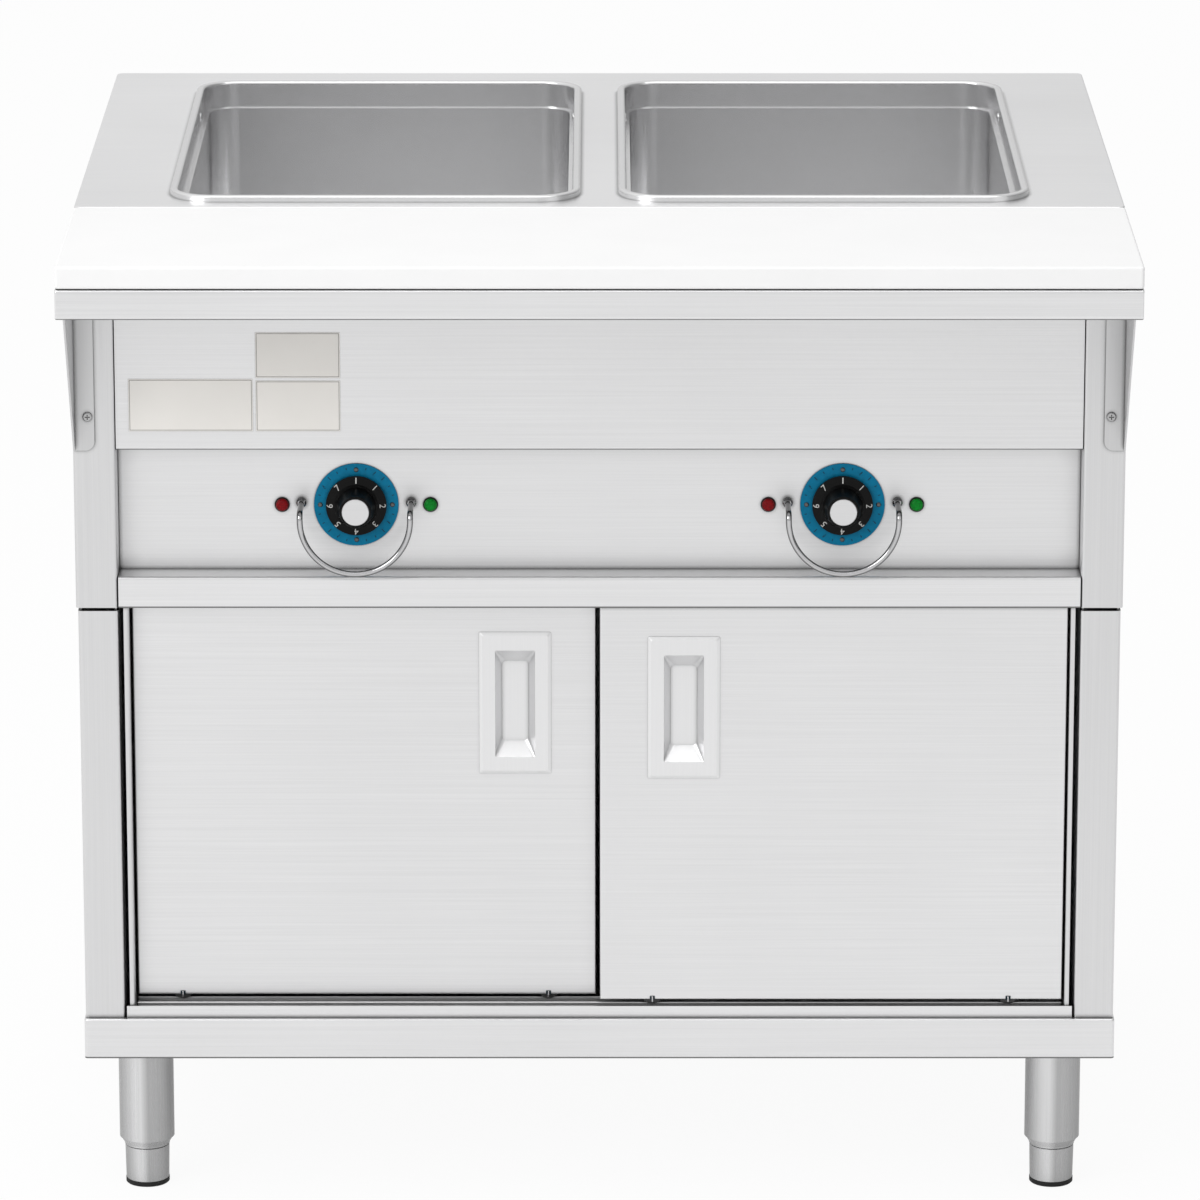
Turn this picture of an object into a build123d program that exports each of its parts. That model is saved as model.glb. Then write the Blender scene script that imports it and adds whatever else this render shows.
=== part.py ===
from build123d import *
import os
from math import sqrt

# Electric steam table with two wells, a lift-off cutting board and a sliding-door cabinet.
# Millimetres. +Z is up, the front faces -Y, the origin is on the floor under the middle.

# Overall sizes
width = 900.0
depth = 830.0
deck_height = 865.0
sheet = 1.5
bend = 3.0
gap = 0.4

# Top, board and shelf
board_depth = 236.0
board_thick = 18.8
shelf_drop = board_thick + gap
lip_height = 26.0
lip_return = 15.0
deck_flange = 30.0
deck_corner = 6.0
board_edge = 2.0
shelf_tuck = 17.0

# Wells
well_width = 340.0
well_length = 499.0
well_inner_x = 23.4
well_front_gap = 26.6
well_corner = 30.0
well_depth = 178.0
bead_width = 7.0
bead_height = 5.5
bead_round = 2.4
ledge_drop = 19.0
ledge_step = 4.0
well_bottom_round = 14.0
well_clear = 0.6

# Body
post_width = 34.5
post_inset = 3.5
upper_proud = 1.7
body_setback = 150.0
rear_overhang = 18.0
panel_recess = 27.0
apron_drop = 193.5
rail_drop = 304.7
rail_height = 27.4
panel_lap = 16.0
rail_ledge = 12.0
joint_gap = 2.8
splice_rise = 22.0
back_lap = 9.0
splice_drop = 30.0

# Shelf brackets
bracket_sheet = 1.6
bracket_flange = 18.3
bracket_drop = 193.0
bracket_reach = 109.0
bracket_inset = 0.4
bracket_tip = 12.0
bracket_corner = 8.0
screw_inset = 12.6
screw_head_radius = 4.0
screw_head_height = 1.8
screw_edge = 0.7
screw_shank_radius = 2.0
screw_slot_length = 4.4
screw_slot_width = 0.9
screw_slot_depth = 1.0
screw_drops = (60.0, 163.3)

# Controls
dial_x = 208.2
dial_drop = 247.5
ring_radius = 36.2
ring_thick = 1.0
ring_fold = 3.0
knob_gap = 2.5
skirt_radius = 26.0
skirt_thick = 3.0
hub_radius = 13.8
hub_base_radius = 17.0
hub_edge = 0.8
knob_length = 25.0
cap_radius = 11.6
cap_thick = 1.6
cap_proud = 0.5
cap_edge = 0.4
shaft_radius = 3.0
shaft_fit = 0.06
shaft_hole = 5.0
shaft_length = 24.0
guard_wire = 2.5
guard_half_span = 47.0
guard_reach = 43.0
guard_bend = 5.5
guard_foot_radius = 4.3
guard_foot_thick = 4.5
guard_foot_edge = 1.2
guard_rise = 2.0
lamp_offset = 63.5
lens_radius = 5.6
lens_rise = 3.2
bezel_radius = 6.4
bezel_thick = 1.2
barrel_radius = 4.9
barrel_length = 26.0
barrel_fit = 0.1
thermostat_width = 42.0
thermostat_height = 30.0
thermostat_length = 34.0
thermostat_edge = 3.0
bridge_thick = 3.0
bridge_overhang = 6.0
bridge_height = 18.0
bulb_radius = 2.5
bulb_length = 14.0
bulb_offset = 13.0
bulb_drop = 8.0
terminal_pitch = 12.0
terminal_width = 6.0
terminal_thick = 1.0
terminal_length = 9.0
terminal_rise = 5.0
element_radius = 4.0
element_drop = 7.0
element_half_width = 100.0
element_bend = 60.0
element_front_gap = 20.0
element_rear_gap = 60.0

# Cabinet
base_drop = 701.3
base_height = 35.5
base_proud = 5.0
base_side_proud = 1.0
base_return = 12.0
door_thick = 12.0
door_pitch = 15.0
door_behind_rail = 3.0
door_edge_x = 401.6
door_gap = 3.3
door_middle_x = 0.5
door_bottom_drop = 685.7
door_top_drop = 323.0
inner_sheet = 1.0
pull_x = 72.6
pull_top_drop = 358.5
pull_bottom_drop = 485.0
pull_width = 62.0
pull_corner = 1.5
pull_bevel = 2.8
pull_plate = 1.8
pull_rim = 0.3
recess_width = 34.5
recess_top_drop = 374.6
recess_bottom_drop = 470.0
recess_side_slope = 6.0
recess_end_slope = 12.0
recess_depth = 9.0
recess_wall = 0.8
recess_mouth_corner = 1.2
recess_floor_corner = 4.0
roller_radius = 9.0
roller_width = 4.0
roller_groove = 1.5
roller_insets = {-1: (39.0, 41.5), 1: (45.5, 46.5)}
roller_slot = 1.5
axle_radius = 2.0
axle_fit = 0.08
axle_gap = 0.6
rib_width = 1.6
rib_height = 11.7
track_face = 10.5
roller_lift = 0.35
fin_width = 1.2
track_tail = 4.0
track_end = 1.5
jamb_x = 403.4
jamb_width = 4.4
jamb_depth = 36.0

# Legs and feet
leg_x = 397.3
leg_setback = 40.0
leg_radius = 24.0
leg_bottom = 43.0
leg_wall = 1.5
leg_shoulder = 1.6
leg_plate = 84.0
leg_plate_thick = 3.0
collar_bottom = 36.0
collar_height = 30.0
collar_proud = 0.4
foot_radius = 19.4
foot_taper = 0.6
foot_edge = 0.8
pad_height = 4.5
pad_radius = 19.1
pad_edge = 0.8
stem_radius = 6.0
stem_clear = 0.35
stem_top = 105.0

# Cord entry
gland_x = 330.0
gland_drop = 275.0
gland_bore = 6.5
gland_radius = 13.0
gland_body_radius = 9.8
gland_body_proud = 2.0
gland_body_tail = 8.0
gland_nut = 15.0
nut_height = 6.0
inner_nut_height = 5.0
gland_length = 15.0
gland_dome = 4.0

# Levels and planes that follow
deck_under = deck_height - sheet
shelf_top = deck_height - shelf_drop
shelf_under = shelf_top - sheet
shelf_lip_bottom = shelf_top - lip_height
front_y = -depth / 2
rear_y = depth / 2
side_x = width / 2
seam_y = front_y + board_depth
body_front = front_y + body_setback
body_rear = rear_y - rear_overhang
post_x = side_x - post_inset
post_inner_x = post_x - post_width
upper_x = post_x + upper_proud
bracket_x = upper_x - bracket_inset
screw_x = bracket_x - screw_inset
panel_y = body_front + panel_recess
apron_bottom = deck_height - apron_drop
rail_top = deck_height - rail_drop
rail_bottom = rail_top - rail_height
upper_bottom = rail_bottom
lower_top = upper_bottom - joint_gap
floor_top = rail_top - sheet - gap
dial_z = deck_height - dial_drop
base_top = deck_height - base_drop
base_bottom = base_top - base_height
base_front = body_front - base_proud
base_rear = body_rear + base_proud
well_x = well_inner_x + well_width / 2
well_front = seam_y + well_front_gap
well_y = well_front + well_length / 2
well_bottom = deck_height - well_depth
door_front_y = body_front + door_behind_rail
door_rear_y = door_front_y + door_pitch
door_bottom = deck_height - door_bottom_drop
door_top = deck_height - door_top_drop
roller_z = base_top + rib_height + roller_lift + roller_radius - roller_groove
leg_front_y = body_front + leg_setback
leg_rear_y = body_rear - leg_setback
rail_back = panel_y + sheet + rail_ledge
knob_back = panel_y - ring_thick - knob_gap
knob_front = knob_back - knob_length


def block(x0, x1, y0, y1, z0, z1):
    """Plain bar or plate between two corners."""
    return Pos((x0 + x1) / 2, (y0 + y1) / 2, (z0 + z1) / 2) * Box(x1 - x0, y1 - y0, z1 - z0)


def disc(x, z, y0, y1, radius):
    """Round bar along Y from y0 to y1."""
    return Pos(x, (y0 + y1) / 2, z) * Rot(90, 0, 0) * Cylinder(radius, abs(y1 - y0))


def post(x, y, z0, z1, radius):
    """Round bar along Z."""
    return Pos(x, y, (z0 + z1) / 2) * Cylinder(radius, z1 - z0)


def offset_left(points, distance):
    """Polyline moved to its left by a distance, with mitred corners."""
    normals = []
    for start, end in zip(points, points[1:]):
        run = (end[0] - start[0], end[1] - start[1])
        length = sqrt(run[0] ** 2 + run[1] ** 2)
        normals.append((-run[1] / length, run[0] / length))
    moved = []
    for index, point in enumerate(points):
        before = normals[max(index - 1, 0)]
        after = normals[min(index, len(normals) - 1)]
        share = distance / (1 + before[0] * after[0] + before[1] * after[1])
        moved.append((point[0] + share * (before[0] + after[0]),
                      point[1] + share * (before[1] + after[1])))
    return moved


def folded(points, thickness=sheet, outer_bend=bend):
    """Section of a folded sheet whose metal lies to the left of the points, with bent corners."""
    turns = []
    for before, corner, after in zip(points, points[1:], points[2:]):
        cross = ((corner[0] - before[0]) * (after[1] - corner[1])
                 - (corner[1] - before[1]) * (after[0] - corner[0]))
        turns.append(cross > 0)
    inner_bend = outer_bend - thickness
    near = [outer_bend if left else inner_bend for left in turns]
    far = [inner_bend if left else outer_bend for left in turns]
    near_side = FilletPolyline(*points, radius=near)
    far_side = FilletPolyline(*offset_left(points, thickness), radius=far)
    ends = Line(near_side @ 0, far_side @ 0) + Line(near_side @ 1, far_side @ 1)
    return make_face(near_side + far_side + ends)


def along_x(section, x0, x1):
    """Section drawn as (y, z), run from x0 to x1."""
    return Pos(x0, 0, 0) * extrude(Plane.YZ * section, x1 - x0)


def along_z(section, z0, z1):
    """Section drawn as (x, y), run from z0 to z1."""
    return Pos(0, 0, z0) * extrude(section, z1 - z0)


def rounded_block(x, y, size_x, size_y, corner, z0, z1):
    """Upright block with rounded vertical corners."""
    return Pos(x, y, z0) * extrude(RectangleRounded(size_x, size_y, corner), z1 - z0)


def top_deck():
    """Deck sheet with its flanges turned down and two well openings."""
    size_y = rear_y - seam_y
    centre_y = (rear_y + seam_y) / 2
    inner_x = width - 2 * sheet
    inner_y = size_y - 2 * sheet
    skin = rounded_block(0, centre_y, width, size_y, deck_corner, deck_height - deck_flange, deck_height)
    skin = fillet(skin.faces().sort_by(Axis.Z)[-1].edges(), sheet)
    hollow = rounded_block(0, centre_y, inner_x, inner_y, deck_corner - sheet, 0, deck_under)
    front_cut = block(-width, width, seam_y - sheet, seam_y + 2 * sheet, 0, shelf_top)
    deck = skin - hollow - front_cut
    for side in (-1, 1):
        opening = 2 * (sheet + well_clear)
        deck -= rounded_block(side * well_x, well_y, well_width + opening, well_length + opening,
                              well_corner + opening / 2, 0, deck_height + sheet)
    return deck


def well(side):
    """Drawn pan with a raised bead on the deck and a ledge below it."""
    x = side * well_x
    ledge = deck_height - ledge_drop
    low_width = well_width - 2 * ledge_step
    low_length = well_length - 2 * ledge_step
    low_corner = well_corner - ledge_step
    top = deck_height + bead_height
    shell = rounded_block(x, well_y, well_width + 2 * sheet, well_length + 2 * sheet,
                          well_corner + sheet, ledge - sheet, top)
    lower = rounded_block(x, well_y, low_width + 2 * sheet, low_length + 2 * sheet,
                          low_corner + sheet, well_bottom, ledge)
    lower = fillet(lower.faces().sort_by(Axis.Z)[0].edges(), well_bottom_round)
    bead = rounded_block(x, well_y, well_width + 2 * bead_width, well_length + 2 * bead_width,
                         well_corner + bead_width, deck_height, top)
    bead = fillet(bead.faces().sort_by(Axis.Z)[-1].edges(), bead_round)
    room = rounded_block(x, well_y, well_width, well_length, well_corner, ledge, top + sheet)
    low_room = rounded_block(x, well_y, low_width, low_length, low_corner, well_bottom + sheet, top)
    low_room = fillet(low_room.faces().sort_by(Axis.Z)[0].edges(), well_bottom_round - sheet)
    pan = shell + bead + lower - room - low_room
    mouth = pan.edges().group_by(Axis.Z)[-1].sort_by(SortBy.LENGTH)
    inner_mouth = [edge for edge in mouth if abs((edge @ 0.5).X - x) < well_width / 2 + 1
                   and abs((edge @ 0.5).Y - well_y) < well_length / 2 + 1]
    return fillet(inner_mouth, bead_round)


def heating_elements():
    """Bent tube under each well, with both ends at the front."""
    z = well_bottom - element_drop
    near = well_front + element_front_gap
    far = well_front + well_length - element_rear_gap
    coils = []
    for side in (-1, 1):
        left = side * well_x - element_half_width
        right = side * well_x + element_half_width
        path = FilletPolyline((left, near, z), (left, far, z), (right, far, z), (right, near, z),
                              radius=element_bend)
        coils.append(sweep(Plane(path @ 0, z_dir=path % 0) * Circle(element_radius), path))
    return coils


def thermostat(side):
    """Control body behind the panel, with its bridge, bulb neck and terminals."""
    x = side * dial_x
    half = thermostat_width / 2
    back = panel_y + sheet
    front = back + bridge_thick
    end = front + thermostat_length
    body = block(x - half, x + half, front, end, dial_z - thermostat_height / 2,
                 dial_z + thermostat_height / 2)
    body = fillet(body.edges().filter_by(Axis.Y), thermostat_edge)
    bridge = block(x - half - bridge_overhang, x + half + bridge_overhang, back, front,
                   dial_z - bridge_height / 2, dial_z + bridge_height / 2)
    bulb_neck = disc(x - bulb_offset, dial_z - bulb_drop, end, end + bulb_length, bulb_radius)
    housing = body + bridge + bulb_neck
    for place in (-1, 0, 1):
        middle = x + place * terminal_pitch
        housing += block(middle - terminal_width / 2, middle + terminal_width / 2, end,
                         end + terminal_length, dial_z + terminal_rise,
                         dial_z + terminal_rise + terminal_thick)
    return housing - disc(x, dial_z, back - 1, back + shaft_length, shaft_radius + shaft_fit)


def apron_panel():
    """Front panel under the shelf, folded back over the control recess."""
    flange_top = apron_bottom + panel_lap
    points = [(panel_y, flange_top), (panel_y, apron_bottom), (body_front + sheet, apron_bottom),
              (body_front + sheet, shelf_under - gap)]
    return along_x(folded(points[::-1]), -post_inner_x + gap, post_inner_x - gap)


def control_panel():
    """Recessed panel with holes for the shafts, lamps and guards."""
    panel = block(-post_inner_x + gap, post_inner_x - gap, panel_y, panel_y + sheet, rail_top,
                  apron_bottom + panel_lap)
    for side in (-1, 1):
        x = side * dial_x
        panel -= disc(x, dial_z, panel_y - 1, panel_y + sheet + 1, shaft_hole)
        for place in (-1, 1):
            panel -= disc(x + place * lamp_offset, dial_z, panel_y - 1, panel_y + sheet + 1,
                          barrel_radius + barrel_fit)
    return panel


def front_rail():
    """Rail under the recess: a face with a top ledge reaching back past the panel."""
    points = [(rail_back, rail_top), (body_front, rail_top), (body_front, rail_bottom)]
    return along_x(folded(points), -post_inner_x + gap, post_inner_x - gap)


def front_post(side, outer_x, z0, z1):
    """Front post: a channel that closes the end of the front panels."""
    points = [(outer_x, body_front + post_width), (outer_x, body_front),
              (post_inner_x, body_front), (post_inner_x, body_front + post_width)]
    return along_z(folded(points[::-1] if side > 0 else mirrored(points)), z0, z1)


def mirrored(points):
    """Section points mirrored across the middle plane."""
    return [(-x, y) for x, y in points]


def rear_post(side, outer_x, z0, z1):
    """Rear post: an angle with equal legs."""
    points = [(post_inner_x, body_rear), (outer_x, body_rear), (outer_x, body_rear - post_width)]
    return along_z(folded(points[::-1] if side > 0 else mirrored(points)), z0, z1)


def upper_posts():
    """Two front channels and two rear angles of the heated body."""
    posts = [front_post(side, upper_x, upper_bottom, shelf_under) for side in (-1, 1)]
    return posts + [rear_post(side, upper_x, upper_bottom, deck_under) for side in (-1, 1)]


def splice(side, x0, x1, y0, y1):
    """Plate inside the post joint, fixed to the lower post."""
    edges = sorted((side * x0, side * x1))
    return block(edges[0], edges[1], y0, y1, lower_top - splice_drop, upper_bottom + splice_rise)


def lower_posts():
    """The cabinet's posts, with the splice plates that join the posts above."""
    posts = []
    for side in (-1, 1):
        front_plate = splice(side, post_inner_x + sheet, post_inner_x + 2 * sheet,
                             body_front + bend + gap, body_front + post_width - bend)
        posts.append(front_post(side, post_x, base_top, lower_top) + front_plate)
        rear_plate = splice(side, post_inner_x + back_lap + gap, post_x - bend - 2 * sheet,
                            body_rear - 2 * sheet, body_rear - sheet)
        posts.append(rear_post(side, post_x, base_top, lower_top) + rear_plate)
    return posts


def side_panel(side, outer_x, z0, z1):
    """Side sheet held inside the posts."""
    x = sorted((side * (outer_x - sheet), side * (outer_x - 2 * sheet)))
    return block(x[0], x[1], body_front + bend + sheet, body_rear - bend - sheet, z0, z1)


def back_panel(z0, z1):
    """Back sheet held inside the rear posts."""
    edge = post_inner_x + back_lap
    return block(-edge, edge, body_rear - 2 * sheet, body_rear - sheet, z0, z1)


def upper_back_panel():
    """Back sheet of the heated body, pierced for the cord entry."""
    panel = back_panel(upper_bottom + gap, deck_under - gap)
    return panel - disc(gland_x, deck_height - gland_drop, body_rear - 3 * sheet, body_rear,
                        gland_body_radius + barrel_fit)


def body_floor():
    """Floor of the heated body, which is the ceiling of the cabinet."""
    edge = post_x - 2 * sheet - gap
    floor_front = rail_back + gap
    floor_rear = body_rear - 2 * sheet - gap
    plate = block(-edge, edge, floor_front, floor_rear, floor_top - sheet, floor_top)
    cut_x = post_width - 2 * sheet
    for side in (-1, 1):
        cut = sorted((side * edge, side * (edge - cut_x)))
        plate -= block(cut[0], cut[1], floor_rear - post_width, floor_rear, 0, deck_height)
    return plate


def board_shelf():
    """Shelf under the board, with a front lip and side flanges."""
    points = [(seam_y + shelf_tuck, shelf_top), (front_y, shelf_top),
              (front_y, shelf_lip_bottom), (front_y + lip_return, shelf_lip_bottom)]
    shelf = along_x(folded(points), -side_x, side_x)
    for side in (-1, 1):
        x = sorted((side * side_x, side * (side_x - sheet)))
        shelf += block(x[0], x[1], front_y + bend, seam_y - gap, shelf_lip_bottom, shelf_top)
        shelf -= block(x[0] - sheet, x[1] + sheet, seam_y - gap, seam_y + shelf_tuck + sheet,
                       0, deck_height)
    lip_ends = shelf.edges().filter_by(Axis.Y).group_by(Axis.Z)[0]
    corners = [edge for edge in lip_ends if abs(abs((edge @ 0.5).X) - side_x) < sheet / 2]
    return fillet(corners, sheet - 0.2)


def shelf_bracket(side):
    """Folded gusset: a tapered web with a post flange and a shelf flange."""
    top = shelf_under
    bottom = deck_height - bracket_drop
    tip_y = body_front - bracket_reach
    face_y = body_front - bracket_sheet
    flange_x = bracket_x - bracket_flange
    outline = make_face(Polyline((tip_y, top), (body_front, top), (body_front, bottom),
                                 (face_y, bottom), (tip_y, top - bracket_tip), close=True))
    web = along_x(outline, bracket_x - bracket_sheet, bracket_x)
    flange = block(flange_x, bracket_x, face_y, body_front, bottom, top)
    low_corner = flange.edges().filter_by(Axis.Y).group_by(Axis.Z)[0].sort_by(Axis.X)[0]
    flange = fillet(low_corner, bracket_corner)
    shelf_flange = block(flange_x, bracket_x, tip_y, body_front, top - bracket_sheet, top)
    gusset = web + flange + shelf_flange
    for drop in screw_drops:
        gusset -= disc(screw_x, deck_height - drop, face_y - 1, body_front + 1, screw_shank_radius)
    return gusset if side > 0 else mirror(gusset, Plane.YZ)


def screw(place, direction, shank):
    """Pan-head screw with a cross recess, its head seat at a place and facing a direction."""
    head = Pos(0, 0, screw_head_height / 2) * Cylinder(screw_head_radius, screw_head_height)
    head = chamfer(head.edges().sort_by(Axis.Z)[-1], screw_edge)
    for turn in (0, 90):
        slot = Box(screw_slot_length, screw_slot_width, 2 * screw_slot_depth)
        head -= Pos(0, 0, screw_head_height) * Rot(0, 0, turn) * slot
    stem = Pos(0, 0, -shank / 2) * Cylinder(screw_shank_radius, shank)
    return Plane(place, z_dir=direction) * (head + stem)


def bracket_screws():
    """Screws that hold each bracket to the front of its post."""
    face_y = body_front - bracket_sheet
    return [screw((side * screw_x, face_y, deck_height - drop), (0, -1, 0), bracket_sheet)
            for side in (-1, 1) for drop in screw_drops]


def dial_ring(side):
    """Raised dial ring round the knob."""
    x = side * dial_x
    ring = disc(x, dial_z, panel_y - ring_thick, panel_y, ring_radius)
    return ring - disc(x, dial_z, panel_y - ring_fold, panel_y + 1, shaft_hole + ring_fold)


def knob_guard(side):
    """Bent wire loop standing out from the panel round the lower half of the knob."""
    x = side * dial_x
    z = dial_z + guard_rise
    front = panel_y - guard_reach
    lift = guard_bend * (1 - sqrt(0.5))
    turn_y = front + guard_bend
    low = z - guard_bend
    left, right = x - guard_half_span, x + guard_half_span
    path = (Line((left, panel_y, z), (left, turn_y, z))
            + ThreePointArc((left, turn_y, z), (left, front + lift, z - lift), (left, front, low))
            + ThreePointArc((left, front, low), (x, front, low - guard_half_span),
                            (right, front, low))
            + ThreePointArc((right, front, low), (right, front + lift, z - lift), (right, turn_y, z))
            + Line((right, turn_y, z), (right, panel_y, z)))
    wire = sweep(Plane((left, panel_y, z), z_dir=(0, -1, 0)) * Circle(guard_wire), path)
    for place in (left, right):
        ferrule = disc(place, z, panel_y - guard_foot_thick, panel_y, guard_foot_radius)
        wire += chamfer(ferrule.edges().sort_by(Axis.Y)[0], guard_foot_edge)
    return wire


def lamp_places(kind):
    """Centres of the two lamps of one kind: red on the left of each dial, green on the right."""
    return [side * dial_x + kind * lamp_offset for side in (-1, 1)]


def lenses(kind):
    """Domed lenses with their stems through the bezels."""
    result = []
    for x in lamp_places(kind):
        face = panel_y - bezel_thick
        lens = disc(x, dial_z, face - lens_rise, face, lens_radius)
        lens = fillet(lens.edges().sort_by(Axis.Y)[0], lens_rise - 0.4)
        result.append(lens)
    return result


def lamp_bezels():
    """Bezels with the lamp barrels behind the panel."""
    result = []
    for x in lamp_places(-1) + lamp_places(1):
        bezel = disc(x, dial_z, panel_y - bezel_thick, panel_y, bezel_radius)
        result.append(bezel + disc(x, dial_z, panel_y, panel_y + barrel_length, barrel_radius))
    return result


def bottom_shelf():
    """Cabinet floor: a pan with deep flanges turned down and in."""
    half = post_x + base_side_proud
    centre_y = (base_front + base_rear) / 2
    size_y = base_rear - base_front
    skin = rounded_block(0, centre_y, 2 * half, size_y, bend, base_bottom, base_top)
    skin = fillet(skin.faces().sort_by(Axis.Z)[-1].edges(), sheet)
    skin -= rounded_block(0, centre_y, 2 * (half - sheet), size_y - 2 * sheet, sheet,
                          base_bottom + sheet, base_top - sheet)
    mouth = rounded_block(0, centre_y, 2 * (half - base_return), size_y - 2 * base_return, sheet,
                          base_bottom - 1, base_bottom + 2 * sheet)
    return skin - mouth


def cabinet_back():
    """Back sheet of the cabinet."""
    return back_panel(base_top, upper_bottom)


def door_jamb(side):
    """Folded strip beside the door opening, set clear of the post."""
    y0 = body_front + sheet + 2 * gap
    y1 = y0 + jamb_depth
    points = [(jamb_x + jamb_width, y0), (jamb_x, y0), (jamb_x, y1), (jamb_x + jamb_width, y1)]
    strip = folded(points[::-1], fin_width, 2 * fin_width)
    jamb = along_z(strip, base_top, floor_top - sheet)
    return jamb if side > 0 else mirror(jamb, Plane.YZ)


def top_track():
    """Ceiling channel with fins that guide the tops of the doors."""
    fin_front = door_front_y + door_thick + (door_pitch - door_thick - fin_width) / 2
    fin_rear = door_rear_y + door_thick + (door_pitch - door_thick - fin_width) / 2
    edge = jamb_x - gap
    ceiling = floor_top - sheet
    front = body_front + sheet + gap
    track = block(-edge, edge, front, fin_rear + fin_width, ceiling - sheet, ceiling)
    for fin in (fin_front, fin_rear):
        track += block(-edge, edge, fin, fin + fin_width, rail_bottom + 1, ceiling - sheet)
    return track


def bottom_track():
    """Floor track: a front face and a rounded rib under each door."""
    face_edge = post_inner_x - track_end
    edge = jamb_x - gap
    front = body_front + gap
    back = door_rear_y + door_thick + track_tail
    track = block(-edge, edge, front, back, base_top, base_top + sheet)
    track += block(-face_edge, face_edge, front, front + sheet, base_top, base_top + track_face)
    for door_y in (door_front_y, door_rear_y):
        middle = door_y + door_thick / 2
        rib = block(-door_edge_x, door_edge_x, middle - rib_width / 2, middle + rib_width / 2,
                    base_top, base_top + rib_height)
        crest = rib.edges().filter_by(Axis.X).group_by(Axis.Z)[-1]
        track += fillet(crest, rib_width / 2 - 0.1)
    return track


def door_span(side):
    """Left and right edges of a door."""
    if side < 0:
        return -door_edge_x, door_middle_x - door_gap
    return door_middle_x, door_edge_x


def door_plane(side):
    """Front face of a door: the right one runs in front."""
    return door_front_y if side > 0 else door_rear_y


def roller_places(side):
    """Centres of the two rollers of a door."""
    x0, x1 = door_span(side)
    near, far = roller_insets[side]
    return x0 + near, x1 - far


def door_skin(side):
    """Outer door pan with flanges turned back, a pull opening and roller slots."""
    x0, x1 = door_span(side)
    y0 = door_plane(side)
    y1 = y0 + door_thick
    skin = block(x0, x1, y0, y1 - inner_sheet, door_bottom, door_top)
    skin = fillet(skin.faces().sort_by(Axis.Y)[0].edges(), bend / 2)
    skin -= block(x0 + inner_sheet, x1 - inner_sheet, y0 + inner_sheet, y1,
                  door_bottom + inner_sheet, door_top - inner_sheet)
    centre = side * pull_x
    top, bottom = deck_height - recess_top_drop, deck_height - recess_bottom_drop
    skin -= block(centre - recess_width / 2 - recess_wall - gap,
                  centre + recess_width / 2 + recess_wall + gap, y0 - 1, y0 + 2 * inner_sheet,
                  bottom - recess_wall - gap, top + recess_wall + gap)
    for x in roller_places(side):
        half = roller_radius + roller_slot
        skin -= block(x - half, x + half, y0 + inner_sheet + gap, y1, door_bottom - 1,
                      door_bottom + 2 * inner_sheet)
    return skin


def door_liner(side):
    """Inner door sheet with the roller axles."""
    x0, x1 = door_span(side)
    y0 = door_plane(side)
    y1 = y0 + door_thick
    liner = block(x0 + 2 * inner_sheet, x1 - 2 * inner_sheet, y1 - inner_sheet, y1,
                  door_bottom + 2 * inner_sheet, door_top - 2 * inner_sheet)
    for x in roller_places(side):
        liner += disc(x, roller_z, y0 + inner_sheet + axle_gap, y1 - inner_sheet, axle_radius)
        spacer = (door_thick - roller_width) / 2 - inner_sheet - gap
        liner += disc(x, roller_z, y1 - inner_sheet - spacer, y1 - inner_sheet, 2 * axle_radius)
    return liner


def door_pull(side):
    """Drawn flush pull: a bevelled plate with a tapered finger recess."""
    centre = side * pull_x
    y0 = door_plane(side)
    top, bottom = deck_height - pull_top_drop, deck_height - pull_bottom_drop
    face = y0 - pull_plate
    plate_plane = Plane((centre, y0, (top + bottom) / 2), x_dir=(1, 0, 0), z_dir=(0, -1, 0))
    outline = RectangleRounded(pull_width, top - bottom, pull_corner)
    crown = RectangleRounded(pull_width - 2 * pull_bevel, top - bottom - 2 * pull_bevel, pull_corner)
    plate = extrude(plate_plane * outline, pull_rim)
    plate += loft([plate_plane.offset(pull_rim) * outline, plate_plane.offset(pull_plate) * crown])
    recess_z = deck_height - (recess_top_drop + recess_bottom_drop) / 2
    height = recess_bottom_drop - recess_top_drop
    recess_plane = Plane((centre, face, recess_z), x_dir=(1, 0, 0), z_dir=(0, 1, 0))
    deep = recess_depth + pull_plate
    pocket = tapered_pocket(recess_plane, height, deep, 0.0)
    cup = tapered_pocket(recess_plane, height, deep + recess_wall, recess_wall)
    cup -= block(centre - pull_width, centre + pull_width, face - 1, y0 - 0.01, 0, deck_height)
    return plate + cup - pocket


def tapered_pocket(plane, height, deep, wall):
    """Tapered pocket, grown by a wall, that narrows from its mouth to its floor."""
    mouth = RectangleRounded(recess_width + 2 * wall, height + 2 * wall, recess_mouth_corner + wall)
    floor = RectangleRounded(recess_width - 2 * recess_side_slope + 2 * wall,
                             height - 2 * recess_end_slope + 2 * wall, recess_floor_corner + wall)
    return loft([plane * mouth, plane.offset(deep) * floor])


def roller(side, place):
    """Grooved door roller on its axle."""
    x = roller_places(side)[place]
    middle = door_plane(side) + door_thick / 2
    half = roller_width / 2
    hub = axle_radius + axle_fit
    rim = roller_radius
    root = roller_radius - roller_groove
    mouth = rib_width / 2 + 0.5
    profile = Polyline((hub, -half), (rim, -half), (rim, -mouth - 0.3), (root, -mouth + 0.2),
                       (root, mouth - 0.2), (rim, mouth + 0.3), (rim, half), (hub, half), close=True)
    wheel = revolve(Plane.XY * make_face(profile), Axis.Y)
    return Pos(x, middle, roller_z) * wheel


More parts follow.
